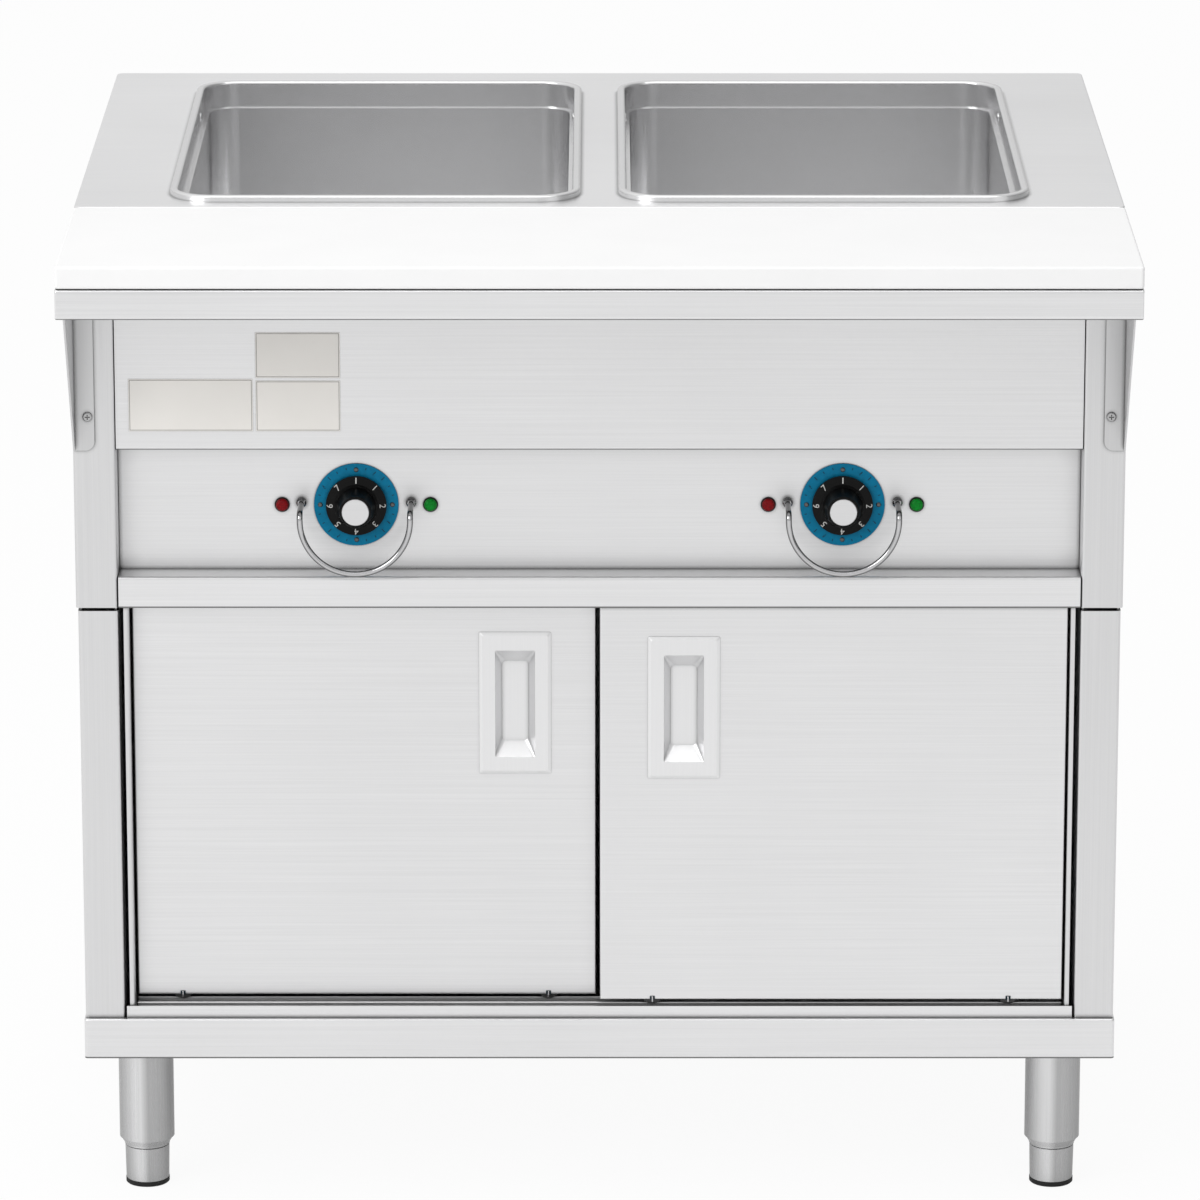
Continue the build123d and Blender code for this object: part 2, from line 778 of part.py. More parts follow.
def knob(side):
    """Black knob: a wide skirt, a tapered hub with a seat for the cap, and the shaft."""
    x = side * dial_x
    seat = knob_length - cap_thick
    seat_radius = cap_radius + barrel_fit
    profile = Polyline((0, 0), (skirt_radius, 0), (skirt_radius, skirt_thick * 0.6),
                       (hub_base_radius + 2, skirt_thick), (hub_base_radius, skirt_thick + 2),
                       (hub_radius, knob_length - hub_edge), (hub_radius - hub_edge, knob_length),
                       (seat_radius, knob_length), (seat_radius, seat), (0, seat), close=True)
    body = revolve(Plane.XY * make_face(profile), Axis.Y)
    shaft = disc(0, 0, -(shaft_length - 2) - knob_gap - ring_thick, 1, shaft_radius)
    turned = Rot(0, 0, 180) * (body + shaft)
    return Pos(x, knob_back, dial_z) * turned


def knob_cap(side):
    """Metal cap pressed into the end of the knob."""
    x = side * dial_x
    cap = disc(x, dial_z, knob_front - cap_proud, knob_front + cap_thick, cap_radius)
    return chamfer(cap.edges().sort_by(Axis.Y)[0], cap_edge)


def cutting_board():
    """White board that lies on the shelf, flush with the deck."""
    top = deck_height
    back = seam_y - gap
    slab = rounded_block(0, (front_y + back) / 2, width, back - front_y, 3.0,
                         top - board_thick, top)
    return fillet(slab.faces().sort_by(Axis.Z)[-1].edges()
                  + slab.faces().sort_by(Axis.Z)[0].edges(), board_edge)


def leg_places():
    """Front left, front right, rear left and rear right legs."""
    return {"front_left": (-leg_x, leg_front_y), "front_right": (leg_x, leg_front_y),
            "rear_left": (-leg_x, leg_rear_y), "rear_right": (leg_x, leg_rear_y)}


def leg(x, y):
    """Tube leg with a top plate and a swaged, threaded collar for the foot."""
    plate_top = base_top - sheet
    tube_top = plate_top - leg_plate_thick
    plate = block(x - leg_plate / 2, x + leg_plate / 2, y - leg_plate / 2, y + leg_plate / 2,
                  tube_top, plate_top)
    tube = post(x, y, leg_bottom, tube_top, leg_radius)
    tube -= post(x, y, leg_bottom - 1, tube_top, leg_radius - leg_wall)
    neck = foot_radius + collar_proud
    profile = Polyline((stem_radius + stem_clear, collar_bottom), (neck, collar_bottom),
                       (neck, collar_bottom + 1), (leg_radius - leg_shoulder, leg_bottom - leg_shoulder),
                       (leg_radius, leg_bottom + leg_shoulder), (leg_radius - leg_wall / 2,
                                                                 leg_bottom + collar_height),
                       (stem_radius + stem_clear, leg_bottom + collar_height), close=True)
    collar = Pos(x, y, 0) * revolve(Plane.XZ * make_face(profile), Axis.Z)
    return plate + tube + collar


def foot(x, y):
    """Adjustable foot: a slightly tapered body on a threaded stem."""
    top = collar_bottom - gap
    body = Pos(x, y, (pad_height + top) / 2) * Cone(foot_radius - foot_taper, foot_radius,
                                                    top - pad_height)
    body = chamfer(body.edges().sort_by(Axis.Z)[-1], foot_edge)
    return body + post(x, y, top - 1, stem_top, stem_radius)


def foot_pad(x, y):
    """Pad under the foot."""
    pad = post(x, y, 0, pad_height, pad_radius)
    return chamfer(pad.edges().sort_by(Axis.Z)[0], pad_edge)


def cord_gland():
    """Cord entry bushing through the back panel, with its nuts."""
    z = deck_height - gland_drop
    outside = body_rear - sheet
    body = disc(gland_x, z, outside - sheet - gland_body_tail, outside + gland_body_proud,
                gland_body_radius)
    nut_plane = Plane((gland_x, outside, z), x_dir=(1, 0, 0), z_dir=(0, 1, 0))
    nut = extrude(nut_plane * RegularPolygon(gland_nut, 6), nut_height)
    dome = disc(gland_x, z, outside + nut_height, outside + gland_length, gland_radius)
    dome = fillet(dome.edges().sort_by(Axis.Y)[-1], gland_dome)
    inner_plane = nut_plane.offset(-sheet - inner_nut_height)
    inner_nut = extrude(inner_plane * RegularPolygon(gland_nut, 6), inner_nut_height)
    bore = disc(gland_x, z, outside - gland_body_tail - gland_length, outside + 2 * gland_length,
                gland_bore)
    return body + nut + dome + inner_nut - bore


def save(name, shape):
    """Write one node, as one solid or as a group of separate solids."""
    solids = shape if isinstance(shape, list) else [shape]
    pieces = [solid for item in solids for solid in item.solids()]
    body = pieces[0] if len(pieces) == 1 else Compound(children=pieces)
    body.label = name
    export_step(body, f"parts/{name}.step")
    nodes[name] = body


nodes = {}
side_names = {-1: "left", 1: "right"}


def build():
    """Write every node of the steam table."""
    os.makedirs("parts", exist_ok=True)
    save("top_deck", top_deck())
    save("heating_elements", heating_elements())
    save("apron_panel", apron_panel())
    save("control_panel", control_panel())
    save("front_rail", front_rail())
    save("upper_posts", upper_posts())
    save("lower_posts", lower_posts())
    save("thermostats", [thermostat(side) for side in (-1, 1)])
    save("dial_rings", [dial_ring(side) for side in (-1, 1)])
    save("upper_back_panel", upper_back_panel())
    save("cabinet_back", cabinet_back())
    save("body_floor", body_floor())
    save("board_shelf", board_shelf())
    save("bracket_screws", bracket_screws())
    save("red_lamps", lenses(-1))
    save("green_lamps", lenses(1))
    save("lamp_bezels", lamp_bezels())
    save("bottom_shelf", bottom_shelf())
    save("top_track", top_track())
    save("bottom_track", bottom_track())
    save("cord_gland", cord_gland())
    save("cutting_board", cutting_board())
    for side, word in side_names.items():
        save(f"well_{word}", well(side))
        save(f"upper_side_{word}", side_panel(side, upper_x, floor_top + gap, shelf_under - gap))
        save(f"cabinet_side_{word}", side_panel(side, post_x, base_top, floor_top - sheet - gap))
        save(f"shelf_bracket_{word}", shelf_bracket(side))
        save(f"knob_guard_{word}", knob_guard(side))
        save(f"door_jamb_{word}", door_jamb(side))
        save(f"door_{word}", door_skin(side))
        save(f"door_liner_{word}", door_liner(side))
        save(f"door_pull_{word}", door_pull(side))
        save(f"knob_{word}", knob(side))
        save(f"knob_cap_{word}", knob_cap(side))
        for place in (0, 1):
            save(f"door_roller_{word}_{place + 1}", roller(side, place))
    for corner, (x, y) in leg_places().items():
        save(f"leg_{corner}", leg(x, y))
        save(f"foot_{corner}", foot(x, y))
        save(f"foot_pad_{corner}", foot_pad(x, y))


build()
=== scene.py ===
from math import cos, pi, radians, sin

import bmesh
import bpy
from mathutils import Matrix, Vector


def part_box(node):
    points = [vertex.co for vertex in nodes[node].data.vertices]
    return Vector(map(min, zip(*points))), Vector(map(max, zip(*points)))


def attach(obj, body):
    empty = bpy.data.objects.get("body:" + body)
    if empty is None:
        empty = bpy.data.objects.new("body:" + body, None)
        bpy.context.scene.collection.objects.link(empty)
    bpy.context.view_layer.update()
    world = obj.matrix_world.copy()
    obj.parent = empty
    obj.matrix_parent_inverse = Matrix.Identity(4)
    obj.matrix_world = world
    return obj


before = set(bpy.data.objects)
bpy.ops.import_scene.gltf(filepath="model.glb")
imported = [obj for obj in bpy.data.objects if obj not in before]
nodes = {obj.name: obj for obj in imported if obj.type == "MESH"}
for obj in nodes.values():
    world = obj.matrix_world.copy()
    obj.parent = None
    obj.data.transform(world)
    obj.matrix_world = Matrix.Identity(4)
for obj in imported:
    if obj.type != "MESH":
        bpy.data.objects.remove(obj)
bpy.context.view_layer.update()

# Camera: fitted to the photograph, whose frame is 1200 by 1200
photo_size = 1200
focal_px = 7360.0
sensor_mm = 36.0
camera_pitch = 15.2
camera_place = (0.0005, -6.3438, 2.1915)
camera_reach = 200

# Floor: its size, its grey, and the share of plain white that rays see instead
floor_size = 80
floor_grey = 0.86
floor_camera_share = 0.93
floor_gloss_share = 0.45

# Room light by height, and how it falls off to the right, each over a range of direction
overhead_range = (0.10, 0.90)
overhead_light = (0.70, 1.02)
sideways_range = (0.0, 0.9)
sideways_light = (1.0, 0.40)

# Lamps: place, target, size, power
lamps = {
    "key": ((-2.8, -3.0, 2.8), (0, 0, 0.6), (2.0, 2.0), 54),
    "fill": ((2.6, -3.0, 2.2), (0, 0, 0.5), (2.4, 2.4), 9),
    "top": ((0, -1.2, 4.0), (0, 0, 0.6), (3.0, 2.0), 28),
}

# Places on the part, in metres
deck_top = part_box("top_deck")[1].z
panel_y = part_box("control_panel")[0].y
apron_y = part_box("apron_panel")[0].y
bead_width = 0.007

# Dials
dial_x = 0.2082
dial_z = 0.6175
skirt_slope = radians(9.7)
numeral_face = panel_y - 0.0060
numeral_radius = 0.0224
numeral_size = 0.0078
numeral_relief = 0.00008
numeral_steps = 3
dial_positions = 8
off_mark = (0.0011, 0.0052, 0.0002)
ring_face = panel_y - 0.001
ring_positions = 24
tick_radius = 0.0325
tick_width = 0.0007
long_tick, short_tick = 0.0036, 0.0020
tick_relief = 0.0001
ring_screw_radius = 0.0309
ring_screw_profile = ((0.0020, 0.0), (0.0020, 0.0005), (0.0014, 0.0010))
ring_screw_height = 0.0010
screw_slot_shade = (0.0004, 0.0024, 0.0001)
screw_slot_turn = 0.5

# Blank plates on the apron: x from and to, z from and to
plate_spots = {
    "rating": (-0.4003, -0.2947, 0.6884, 0.7339),
    "upper": (-0.2920, -0.2203, 0.7350, 0.7745),
    "lower": (-0.2920, -0.2203, 0.6884, 0.7325),
}
plate_thick = 0.0003
plate_edge = 0.0001
border_line = 0.0005
border_inset = 0.0007
border_thick = 0.00006
border_edge = 0.00001

# Pressed stops in the wells
stop_radius = 0.0040
stop_height = 0.0018
stop_rings = 6
stop_behind = 0.105
stop_drop = 0.007

# Axle pins at the foot of each door, and thin dark sheets painted as the shade of their notches
notch_shade_half_width = 0.0022
notch_shade_height = 0.0034
notch_shade_thick = 0.00008
notch_shade_edge = 0.00002
pin_profile = ((0.0006, -0.0020), (0.0009, -0.0016), (0.0009, 0.0026), (0.0006, 0.0031))
pin_stand_off = 0.0005


def socket(node, name, value):
    """Set one input of a node."""
    node.inputs[name].default_value = value


class Tree:
    """Short ways to add, link and combine the nodes of one node tree."""

    def __init__(self, tree):
        self.tree = tree

    def add(self, kind, **values):
        node = self.tree.nodes.new(kind)
        for name, value in values.items():
            setattr(node, name, value)
        return node

    def link(self, source, target):
        self.tree.links.new(source, target)

    def ramp(self, source, low, high, start=0.3, end=0.7):
        """Map a value from start..end to low..high."""
        change = self.add("ShaderNodeMapRange")
        self.link(source, change.inputs["Value"])
        socket(change, "From Min", start)
        socket(change, "From Max", end)
        socket(change, "To Min", low)
        socket(change, "To Max", high)
        return change.outputs["Result"]

    def combine(self, first, second, operation="MULTIPLY"):
        """Combine two node outputs."""
        maths = self.add("ShaderNodeMath", operation=operation)
        self.link(first, maths.inputs[0])
        self.link(second, maths.inputs[1])
        return maths.outputs["Value"]

    def axis(self, vector, name):
        """One axis of a vector output."""
        split = self.add("ShaderNodeSeparateXYZ")
        self.link(vector, split.inputs["Vector"])
        return split.outputs[name]

    def seen_share(self, camera_share, gloss_share):
        """Share of plain white that camera, glossy and transmitted rays see."""
        path = self.add("ShaderNodeLightPath")
        total = None
        for ray, share in (("Is Camera Ray", camera_share), ("Is Glossy Ray", gloss_share),
                           ("Is Transmission Ray", camera_share)):
            part = self.add("ShaderNodeMath", operation="MULTIPLY")
            part.inputs[1].default_value = share
            self.link(path.outputs[ray], part.inputs[0])
            part = part.outputs["Value"]
            total = part if total is None else self.combine(total, part, "MAXIMUM")
        return total


class Shader(Tree):
    """A node material with one Principled shader."""

    def __init__(self, name):
        self.material = bpy.data.materials.new(name)
        self.material.use_nodes = True
        super().__init__(self.material.node_tree)
        self.main = self.tree.nodes["Principled BSDF"]
        self.coordinates = self.add("ShaderNodeTexCoord")
        self.place = self.coordinates.outputs["Object"]

    def noise(self, scale, detail=3.0, roughness=0.5):
        """Noise over the object's own coordinates, stretched by a scale for each axis."""
        mapping = self.add("ShaderNodeMapping")
        self.link(self.place, mapping.inputs["Vector"])
        socket(mapping, "Scale", scale)
        noise = self.add("ShaderNodeTexNoise")
        self.link(mapping.outputs["Vector"], noise.inputs["Vector"])
        socket(noise, "Scale", 1.0)
        socket(noise, "Detail", detail)
        socket(noise, "Roughness", roughness)
        return noise.outputs["Fac"]

    def colour(self, colour, *shades):
        """Base colour: one colour times one or more shade values."""
        shade = shades[0]
        for item in shades[1:]:
            shade = self.combine(shade, item)
        mix = self.add("ShaderNodeMix", data_type="RGBA", blend_type="MULTIPLY")
        factor, first, second = mix.inputs[0], mix.inputs[6], mix.inputs[7]
        factor.default_value = 1.0
        first.default_value = (*colour, 1)
        grey = self.add("ShaderNodeCombineColor")
        for channel in ("Red", "Green", "Blue"):
            self.link(shade, grey.inputs[channel])
        self.link(grey.outputs["Color"], second)
        self.link(mix.outputs[2], self.main.inputs["Base Color"])

    def mottle(self, source, amount):
        """Shade value that wanders round 1 with a noise."""
        return self.ramp(source, 1.0 - amount, 1.0 + amount / 2)

    def crease(self, reach, depth, start=0.12, end=0.80):
        """Painted shade: a value that falls in seams and folds narrower than a reach."""
        shade = self.add("ShaderNodeAmbientOcclusion", samples=6)
        socket(shade, "Distance", reach)
        return self.ramp(shade.outputs["AO"], 1.0 - depth, 1.0, start, end)

    def hem(self, bottom):
        """Painted shade: a value that falls along the bent bottom edge of a sheet at a height."""
        height = self.axis(self.place, "Z")
        return self.ramp(height, 0.22, 1.0, bottom + 0.0009, bottom + 0.0016)

    def rim(self, depth, start=0.15, end=0.95):
        """Painted reflection: a value that falls towards the outline of a round polished piece."""
        weight = self.add("ShaderNodeLayerWeight")
        socket(weight, "Blend", 0.5)
        return self.ramp(weight.outputs["Facing"], 1.0, 1.0 - depth, start, end)

    def tube(self, left, right):
        """Painted reflection on an upright polished tube: a value brightest just left of its
        front.
        """
        sideways = self.axis(self.coordinates.outputs["Normal"], "X")
        return self.combine(self.ramp(sideways, left, 1.0, -0.90, -0.35),
                            self.ramp(sideways, 1.0, right, -0.15, 0.12))

    def roughness(self, source, low, high):
        """Roughness that wanders with a noise."""
        self.link(self.ramp(source, low, high), self.main.inputs["Roughness"])

    def bump(self, source, strength, distance=0.0002):
        """Fine relief that follows a noise."""
        bump = self.add("ShaderNodeBump")
        socket(bump, "Strength", strength)
        socket(bump, "Distance", distance)
        self.link(source, bump.inputs["Height"])
        self.link(bump.outputs["Normal"], self.main.inputs["Normal"])


def grained(size, along, grain):
    """Noise scale that is fine across the grain and long along it."""
    scale = [size, size, size]
    scale[grain] = along
    return scale


def brushed(name, grain, tone, rough, streaks=0.03, cloud=0.03, bump=0.03, rim=0.0,
            seam_shade=0.85, fold_shade=0.28, tube=False, hem=0.0, spread=0.04):
    """Brushed stainless steel: fine streaks along one axis and faint clouds, with painted shade in
    seams, folds and along a bottom hem, and painted reflection on round pieces.
    """
    shader = Shader(name)
    lines = shader.noise(grained(1500.0, 7.0, grain), 2.0, 0.6)
    bands = shader.noise(grained(420.0, 3.0, grain), 2.0, 0.5)
    clouds = shader.noise((2.6, 2.6, 2.6), 3.0, 0.5)
    shades = [shader.mottle(lines, streaks), shader.mottle(bands, streaks),
              shader.mottle(clouds, cloud)]
    # Painted shade in seams, folds and along a bottom hem, and painted reflection towards the
    # outline and on upright tubes
    if seam_shade:
        shades.append(shader.crease(0.004, seam_shade, 0.36, 0.95))
    if fold_shade:
        shades.append(shader.crease(0.022, fold_shade, 0.12, 0.85))
    if hem:
        shades.append(shader.hem(hem))
    if rim:
        shades.append(shader.rim(rim))
    if tube:
        shades.append(shader.tube(0.74, 0.62))
    shader.colour((tone, tone, tone * 1.006), *shades)
    if spread:
        shader.roughness(bands, rough - spread, rough + spread)
        shader.bump(lines, bump)
    else:
        socket(shader.main, "Roughness", rough)
    socket(shader.main, "Metallic", 1.0)
    return shader.material


def moulded(name, colour, rough, grain=0.04, size=700.0, spread=0.04, specular=0.5):
    """Moulded plastic: a fine surface grain and slight tone change, with painted shade in its
    seams.
    """
    shader = Shader(name)
    texture = shader.noise((size, size, size), 2.0)
    clouds = shader.noise((14.0, 14.0, 14.0), 2.0)
    shader.colour(colour, shader.mottle(clouds, spread), shader.crease(0.006, 0.45))
    shader.roughness(texture, rough - 0.03, rough + 0.05)
    shader.bump(texture, grain)
    socket(shader.main, "Specular IOR Level", specular)
    return shader.material


def chromed(name):
    """Polished chrome with faint handling marks, a painted reflection that darkens it towards its
    outline, and painted shade in its creases.
    """
    shader = Shader(name)
    marks = shader.noise((180.0, 180.0, 180.0), 3.0)
    shader.colour((0.60, 0.60, 0.61), shader.ramp(marks, 0.96, 1.02),
                  shader.rim(0.94, 0.02, 0.52), shader.crease(0.006, 0.6))
    shader.roughness(marks, 0.05, 0.12)
    socket(shader.main, "Metallic", 1.0)
    return shader.material


def lens(name, colour):
    """Lamp lens with fine moulded pips under a clear skin, each pip painted lighter at its centre
    as a glint, and a painted reflection that darkens it towards its outline.
    """
    shader = Shader(name)
    pips = shader.add("ShaderNodeTexVoronoi")
    shader.link(shader.place, pips.inputs["Vector"])
    socket(pips, "Scale", 900.0)
    depth = pips.outputs["Distance"]
    # Pips lighter at their centres as painted glints, and darker towards the outline as painted
    # reflection
    shader.colour(colour, shader.ramp(depth, 1.25, 0.6, 0.0, 0.7), shader.rim(0.6))
    shader.bump(depth, 0.5, 0.0004)
    socket(shader.main, "Roughness", 0.30)
    socket(shader.main, "Specular IOR Level", 0.14)
    return shader.material


def painted_dial(name, colour):
    """Printed dial ring: even ink with a faint mottle, and painted shade in its creases."""
    shader = Shader(name)
    mottle = shader.noise((260.0, 260.0, 260.0), 3.0)
    shader.colour(colour, shader.ramp(mottle, 0.88, 1.08), shader.crease(0.008, 0.5))
    shader.roughness(mottle, 0.36, 0.46)
    socket(shader.main, "Specular IOR Level", 0.12)
    return shader.material


def hemmed(name, node, tone, fold_shade):
    """Brushed sheet of one node, with a line of painted shade along its bottom edge."""
    return brushed(name, across, tone, 0.37, fold_shade=fold_shade, hem=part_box(node)[0].z)


across, upright = 0, 2
# Tones set part by part on one brushed steel as painted light and shade: the deck lighter on its
# upward face, the wells, posts and brackets darker
steel_deck = brushed("steel_deck", across, 0.90, 0.34, streaks=0.015, cloud=0.05, bump=0.02,
                     fold_shade=0.0, spread=0.01)
steel_panel = brushed("steel_panel", across, 0.82, 0.38)
steel_shelf = brushed("steel_shelf", across, 0.83, 0.37, cloud=0.04, fold_shade=0.15)
steel_apron = hemmed("steel_apron", "apron_panel", 0.82, 0.28)
steel_lip = hemmed("steel_lip", "board_shelf", 0.83, 0.15)
steel_rail = hemmed("steel_rail", "front_rail", 0.84, 0.05)
steel_base = hemmed("steel_base", "bottom_shelf", 0.82, 0.15)
steel_post = brushed("steel_post", upright, 0.745, 0.36, streaks=0.025)
steel_bracket = brushed("steel_bracket", upright, 0.67, 0.36, streaks=0.025)
steel_leg = brushed("steel_leg", upright, 0.74, 0.26, streaks=0.04, rim=0.42, seam_shade=0.3, tube=True)
steel_well = brushed("steel_well", across, 0.785, 0.27, streaks=0.010, seam_shade=0.0, fold_shade=0.0,
                     spread=0.0)
steel_pull = brushed("steel_pull", upright, 0.84, 0.34, streaks=0.015, cloud=0.02)
steel_screw = brushed("steel_screw", across, 0.50, 0.25, cloud=0.05, rim=0.4)
steel_stud = brushed("steel_stud", across, 0.13, 0.30, cloud=0.05, rim=0.4)
steel_cap = brushed("steel_cap", across, 0.76, 0.36, streaks=0.02)
steel_plain = brushed("steel_plain", across, 0.50, 0.45, streaks=0.04, cloud=0.10)
element_metal = brushed("element_metal", across, 0.25, 0.50, streaks=0.05, cloud=0.20)
chrome = chromed("chrome")
board_white = moulded("board_white", (0.87, 0.87, 0.87), 0.42, grain=0.03, size=900.0, spread=0.01)
black_knob = moulded("black_knob", (0.004, 0.004, 0.004), 0.32, grain=0.03, size=900.0,
                     spread=0.1, specular=0.14)
black_pad = moulded("black_pad", (0.010, 0.010, 0.010), 0.6, grain=0.2, size=500.0,
                    spread=0.1, specular=0.3)
roller_dark = moulded("roller_dark", (0.05, 0.05, 0.05), 0.32)
red_lens = lens("red_lens", (0.25, 0.003, 0.006))
green_lens = lens("green_lens", (0.0, 0.27, 0.022))
ring_blue = painted_dial("ring_blue", (0.001, 0.185, 0.34))
ink_white = moulded("ink_white", (0.62, 0.62, 0.60), 0.5)
# Dark ink for printed ticks, also used as painted shade in screw slots and door notches
dark_ink_and_shade = moulded("dark_ink_and_shade", (0.006, 0.02, 0.03), 0.5, specular=0.2)
plate_cream = moulded("plate_cream", (0.87, 0.845, 0.805), 0.45, grain=0.03, size=600.0,
                      spread=0.03)
plate_line = moulded("plate_line", (0.28, 0.26, 0.25), 0.5)

node_finish = {
    "top_deck": steel_deck, "board_shelf": steel_lip, "bottom_shelf": steel_base,
    "heating_elements": element_metal, "thermostats": steel_plain, "body_floor": steel_plain,
    "apron_panel": steel_apron, "control_panel": steel_panel, "front_rail": steel_rail,
    "upper_posts": steel_post, "lower_posts": steel_post, "upper_back_panel": steel_panel,
    "cabinet_back": steel_panel, "bracket_screws": steel_screw, "dial_rings": ring_blue,
    "red_lamps": red_lens, "green_lamps": green_lens, "lamp_bezels": black_knob,
    "top_track": steel_plain, "bottom_track": steel_shelf, "cord_gland": black_pad,
    "cutting_board": board_white,
}
for side in ("left", "right"):
    node_finish.update({
        f"well_{side}": steel_well, f"upper_side_{side}": steel_panel,
        f"cabinet_side_{side}": steel_panel, f"shelf_bracket_{side}": steel_bracket,
        f"knob_guard_{side}": chrome, f"door_jamb_{side}": steel_post,
        f"door_{side}": steel_panel, f"door_liner_{side}": steel_plain,
        f"door_pull_{side}": steel_pull, f"knob_{side}": black_knob,
        f"knob_cap_{side}": steel_cap, f"door_roller_{side}_1": roller_dark,
        f"door_roller_{side}_2": roller_dark,
    })
for corner in ("front_left", "front_right", "rear_left", "rear_right"):
    node_finish.update({f"leg_{corner}": steel_leg, f"foot_{corner}": steel_leg,
                        f"foot_pad_{corner}": black_pad})

for name, node in nodes.items():
    for material_slot in node.material_slots:
        material_slot.material = node_finish[name]


def add_piece(name, work, material, body):
    """Put a bmesh in the scene as one piece, on a body."""
    bmesh.ops.recalc_face_normals(work, faces=work.faces)
    mesh = bpy.data.meshes.new(name)
    work.to_mesh(mesh)
    work.free()
    mesh.materials.append(material)
    piece = bpy.data.objects.new(name, mesh)
    bpy.context.scene.collection.objects.link(piece)
    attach(piece, body)


def box_into(work, matrix, sizes, bevel, segments, front_only=False):
    """Add a box with bevelled edges to a bmesh: all of them, or those of its front."""
    made = bmesh.ops.create_cube(work, size=1.0)["verts"]
    bmesh.ops.transform(work, matrix=matrix @ Matrix.Diagonal((*sizes, 1.0)), verts=made)
    edges = list(dict.fromkeys(edge for vert in made for edge in vert.link_edges))
    if front_only:
        front = min(vert.co.y for vert in made)
        edges = [edge for edge in edges
                 if all(abs(end.co.y - front) < 1e-6 for end in edge.verts)]
    bmesh.ops.bevel(work, geom=edges, offset=bevel, segments=segments, affect="EDGES")


def slab(work, x0, x1, z0, z1, y, thick, edge):
    """Thin plate facing the front, with its front edges bevelled."""
    place = Matrix.Translation(((x0 + x1) / 2, y - thick / 2, (z0 + z1) / 2))
    box_into(work, place, (x1 - x0, thick, z1 - z0), edge, 2, front_only=True)


def bar(work, place, width, height, thick):
    """Small bevelled bar on a dial's face."""
    box_into(work, place, (width, thick, height), thick / 4, 1)


def numeral(work, text, matrix):
    """Add a numeral's thin mesh to a bmesh."""
    curve = bpy.data.curves.new("numeral", "FONT")
    curve.body = text
    curve.size = numeral_size
    curve.align_x = "CENTER"
    curve.align_y = "CENTER"
    curve.extrude = numeral_relief
    curve.resolution_u = numeral_steps
    holder = bpy.data.objects.new("numeral", curve)
    mesh = bpy.data.meshes.new_from_object(holder)
    mesh.transform(matrix)
    work.from_mesh(mesh)
    bpy.data.objects.remove(holder)
    bpy.data.meshes.remove(mesh)
    bpy.data.curves.remove(curve)


def turned(work, profile, place, segments=20):
    """Revolve a profile of (radius, height) about the local Z axis and close its ends."""
    rings = []
    for radius, height in profile:
        ring = []
        for step in range(segments):
            angle = 2 * pi * step / segments
            spot = Vector((radius * cos(angle), radius * sin(angle), height))
            ring.append(work.verts.new(place @ spot))
        rings.append(ring)
    for low, high in zip(rings, rings[1:]):
        for step in range(segments):
            after = (step + 1) % segments
            work.faces.new((low[step], low[after], high[after], high[step]))
    work.faces.new(rings[0])
    work.faces.new(rings[-1])


def on_dial(x, y, angle, radius):
    """Place on a dial's face: turned clockwise by an angle and moved outwards by a radius."""
    return (Matrix.Translation((x, y, dial_z)) @ Matrix.Rotation(angle, 4, "Y")
            @ Matrix.Translation((0, 0, radius)))


upright_to_front = Matrix.Rotation(pi / 2, 4, "X")


def label_plates():
    """Three blank plates on the apron, each with a thin printed border."""
    for name, (x0, x1, z0, z1) in plate_spots.items():
        plate = bmesh.new()
        slab(plate, x0, x1, z0, z1, apron_y, plate_thick, plate_edge)
        add_piece(f"blank_plate_{name}", plate, plate_cream, "frame")
        left, right = x0 + border_inset, x1 - border_inset
        low, high = z0 + border_inset, z1 - border_inset
        inner_low, inner_high = low + border_line, high - border_line
        border = bmesh.new()
        for strip in ((left, right, low, inner_low), (left, right, inner_high, high),
                      (left, left + border_line, inner_low, inner_high),
                      (right - border_line, right, inner_low, inner_high)):
            slab(border, *strip, apron_y - plate_thick, border_thick, border_edge)
        add_piece(f"plate_border_{name}", border, plate_line, "frame")


def skirt_marks(side, x):
    """Numerals and an off mark on the sloping skirt of a knob."""
    marks = bmesh.new()
    tilt = Matrix.Rotation(-skirt_slope, 4, "X")
    for step in range(1, dial_positions):
        spot = on_dial(x, numeral_face, 2 * pi * step / dial_positions, numeral_radius)
        numeral(marks, str(step), spot @ tilt @ upright_to_front)
    bar(marks, on_dial(x, numeral_face, 0, numeral_radius) @ tilt, *off_mark)
    add_piece(f"dial_numerals_{side}", marks, ink_white, f"dial_{side}")


def ring_marks(side, x):
    """Ticks on the dial ring, and its four small screws, with dark bars as painted shade in their
    slots.
    """
    ticks, screws, slot_shades = bmesh.new(), bmesh.new(), bmesh.new()
    for step in range(ring_positions):
        angle = 2 * pi * step / ring_positions
        if step % 6:
            length = short_tick if step % 3 else long_tick
            bar(ticks, on_dial(x, ring_face, angle, tick_radius), tick_width, length, tick_relief)
        else:
            turned(screws, ring_screw_profile,
                   on_dial(x, ring_face, angle, ring_screw_radius) @ upright_to_front)
            # Dark bar standing as painted shade in the screw's slot
            bar(slot_shades, on_dial(x, ring_face - ring_screw_height, angle + screw_slot_turn,
                               ring_screw_radius), *screw_slot_shade)
    add_piece(f"ring_ticks_{side}", ticks, dark_ink_and_shade, "frame")
    add_piece(f"ring_screws_{side}", screws, steel_stud, "frame")
    add_piece(f"ring_screw_slot_shades_{side}", slot_shades, dark_ink_and_shade, "frame")


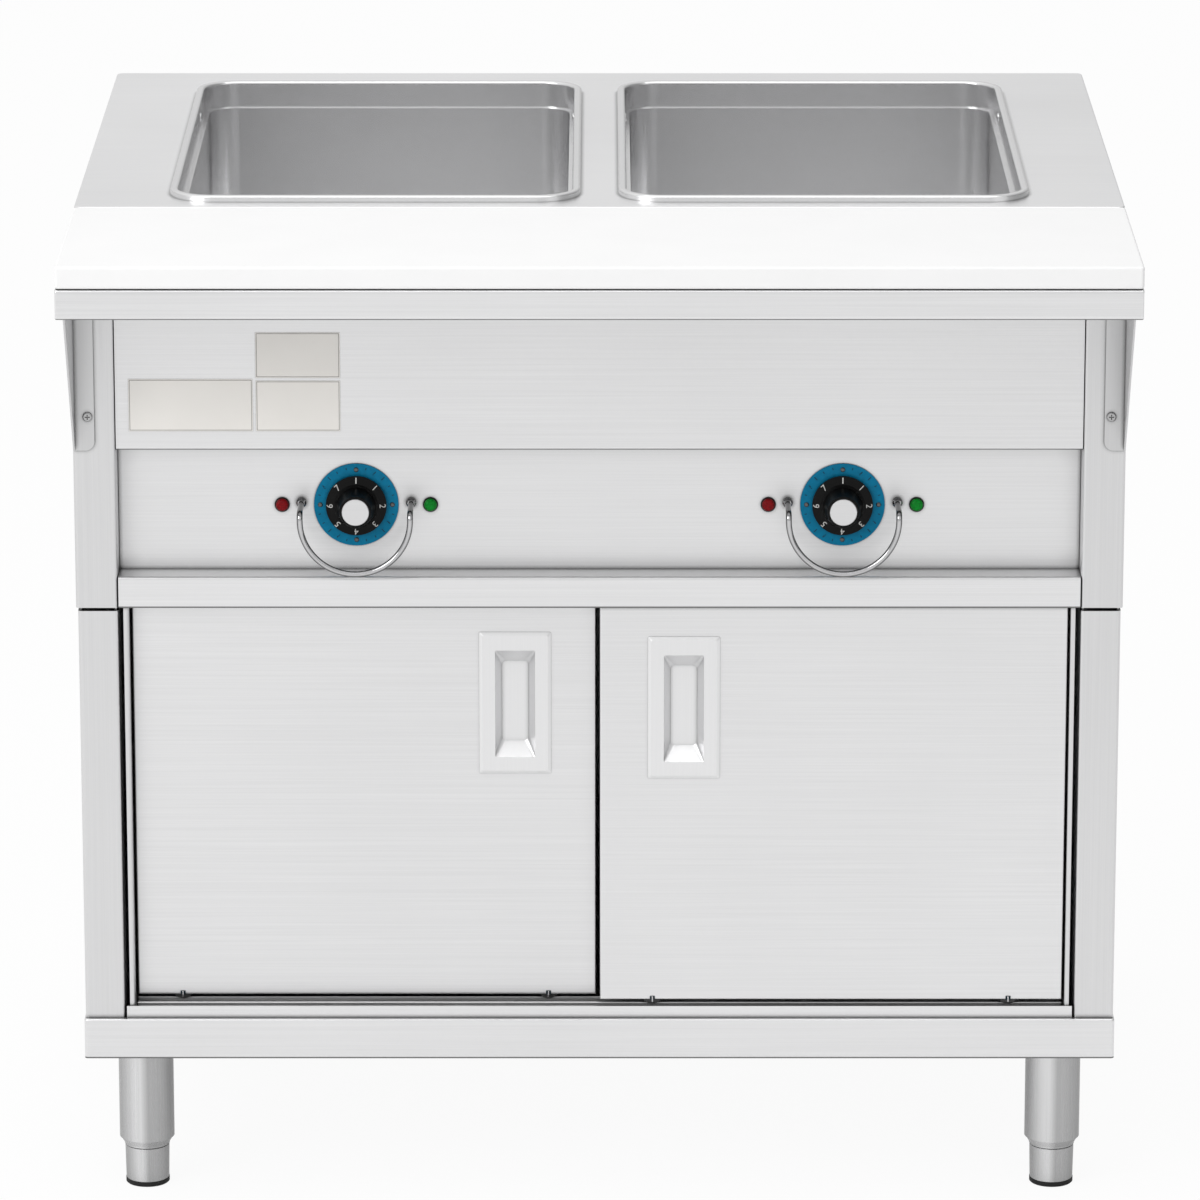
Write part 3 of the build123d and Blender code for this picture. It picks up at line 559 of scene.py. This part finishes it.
def well_stops(side):
    """Pressed stop on each side wall of a well, above the ledge."""
    low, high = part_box(f"well_{side}")
    stops = bmesh.new()
    angles = [step * pi / (2 * stop_rings) for step in range(stop_rings)]
    dome = [(stop_radius * cos(angle), stop_height * sin(angle)) for angle in angles]
    y = high.y - bead_width - stop_behind
    z = deck_top - stop_drop
    for x, turn in ((low.x + bead_width, pi / 2), (high.x - bead_width, -pi / 2)):
        turned(stops, dome, Matrix.Translation((x, y, z)) @ Matrix.Rotation(turn, 4, "Y"))
    add_piece(f"well_stops_{side}", stops, steel_well, "frame")


def door_pins(side):
    """Bright axle pin at the foot of the door, in front of each roller, on a thin dark sheet
    painted as the shade of its notch.
    """
    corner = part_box(f"door_{side}")[0]
    pins, notch_shades = bmesh.new(), bmesh.new()
    for place in (1, 2):
        near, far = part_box(f"door_roller_{side}_{place}")
        x = (near.x + far.x) / 2
        slab(notch_shades, x - notch_shade_half_width, x + notch_shade_half_width, corner.z,
             corner.z + notch_shade_height, corner.y, notch_shade_thick, notch_shade_edge)
        turned(pins, pin_profile, Matrix.Translation((x, corner.y - pin_stand_off, corner.z)))
    add_piece(f"door_pins_{side}", pins, chrome, f"sliding_door_{side}")
    add_piece(f"door_notch_shades_{side}", notch_shades, dark_ink_and_shade, f"sliding_door_{side}")


for side, sign in (("left", -1), ("right", 1)):
    skirt_marks(side, sign * dial_x)
    ring_marks(side, sign * dial_x)
    well_stops(side)
    door_pins(side)
label_plates()


def floor_material():
    """Pale floor: near white to the camera, with the object's shadow kept."""
    material = bpy.data.materials.new("floor")
    material.use_nodes = True
    tree = Tree(material.node_tree)
    material.node_tree.nodes.clear()
    out = tree.add("ShaderNodeOutputMaterial")
    mix = tree.add("ShaderNodeMixShader")
    diffuse = tree.add("ShaderNodeBsdfDiffuse")
    socket(diffuse, "Color", (floor_grey, floor_grey, floor_grey, 1))
    glow = tree.add("ShaderNodeEmission")
    tree.link(tree.seen_share(floor_camera_share, floor_gloss_share), mix.inputs["Fac"])
    tree.link(diffuse.outputs["BSDF"], mix.inputs[1])
    tree.link(glow.outputs["Emission"], mix.inputs[2])
    tree.link(mix.outputs["Shader"], out.inputs["Surface"])
    return material


def studio_world():
    """Studio surround: white to the camera, brighter overhead and darker to the right."""
    world = bpy.data.worlds.new("studio")
    bpy.context.scene.world = world
    world.use_nodes = True
    tree = Tree(world.node_tree)
    back = world.node_tree.nodes["Background"]
    socket(back, "Color", (1, 1, 1, 1))
    direction = tree.add("ShaderNodeTexCoord").outputs["Generated"]
    height = tree.ramp(tree.axis(direction, "Z"), *overhead_light, *overhead_range)
    sideways = tree.ramp(tree.axis(direction, "X"), *sideways_light, *sideways_range)
    level = tree.add("ShaderNodeMapRange")
    tree.link(tree.seen_share(1.0, 0.0), level.inputs["Value"])
    tree.link(tree.combine(height, sideways), level.inputs["To Min"])
    socket(level, "To Max", 1.0)
    tree.link(level.outputs["Result"], back.inputs["Strength"])


def stage():
    """Floor and surround."""
    bpy.ops.mesh.primitive_plane_add(size=floor_size, location=(0, 0, 0))
    floor = bpy.context.object
    floor.name = "floor"
    floor.data.materials.append(floor_material())
    studio_world()


def lamp(name, place, target, size, power):
    """Soft rectangular studio lamp aimed at a point."""
    data = bpy.data.lights.new(name, "AREA")
    data.shape = "RECTANGLE"
    data.size, data.size_y = size
    data.energy = power
    holder = bpy.data.objects.new(name, data)
    bpy.context.scene.collection.objects.link(holder)
    holder.location = place
    aim = Vector(target) - Vector(place)
    holder.rotation_euler = aim.to_track_quat("-Z", "Y").to_euler()


def camera():
    """Camera at the photograph's viewpoint."""
    data = bpy.data.cameras.new("camera")
    data.sensor_width = sensor_mm
    data.lens = sensor_mm * focal_px / photo_size
    data.clip_end = camera_reach
    holder = bpy.data.objects.new("camera", data)
    bpy.context.scene.collection.objects.link(holder)
    holder.location = camera_place
    holder.rotation_euler = (radians(90 - camera_pitch), 0, 0)
    bpy.context.scene.camera = holder


stage()
for name, settings in lamps.items():
    lamp(name, *settings)
camera()
bpy.context.scene.view_settings.view_transform = "Standard"
